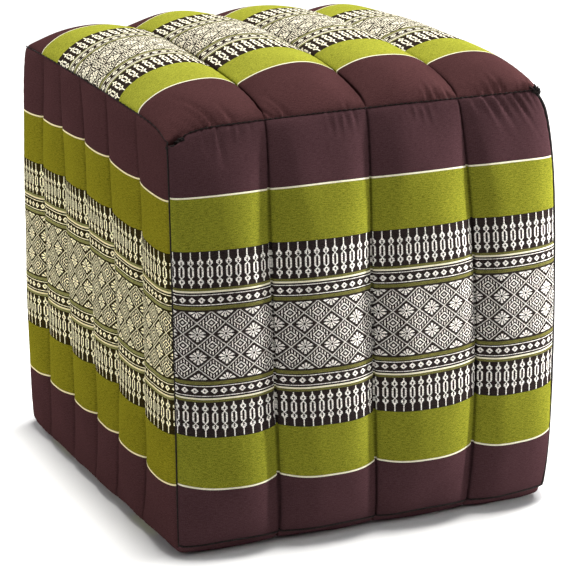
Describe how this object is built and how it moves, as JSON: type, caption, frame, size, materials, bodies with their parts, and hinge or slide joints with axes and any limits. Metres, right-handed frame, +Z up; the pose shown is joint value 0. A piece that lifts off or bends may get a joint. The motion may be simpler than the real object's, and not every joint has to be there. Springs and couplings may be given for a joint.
{
  "type": "cube cushion",
  "caption": "Quilted cube-shaped floor cushion, a firm filled body with channels sewn on every side and woven bands running round it",
  "frame": {"origin": "on the floor, under the middle of the cushion's box", "axes": "+Z up. -Y is the front, a side with the wide channels. -X is the side with the narrow channels that shows beside it in the picture. The channels of the top run along Y."},
  "size_m": [0.4198, 0.4625, 0.4537],
  "materials": {
    "cloth": "matt woven cotton"
  },
  "bodies": {
    "root": {"cushion": "cloth"}
  },
  "joints": []
}
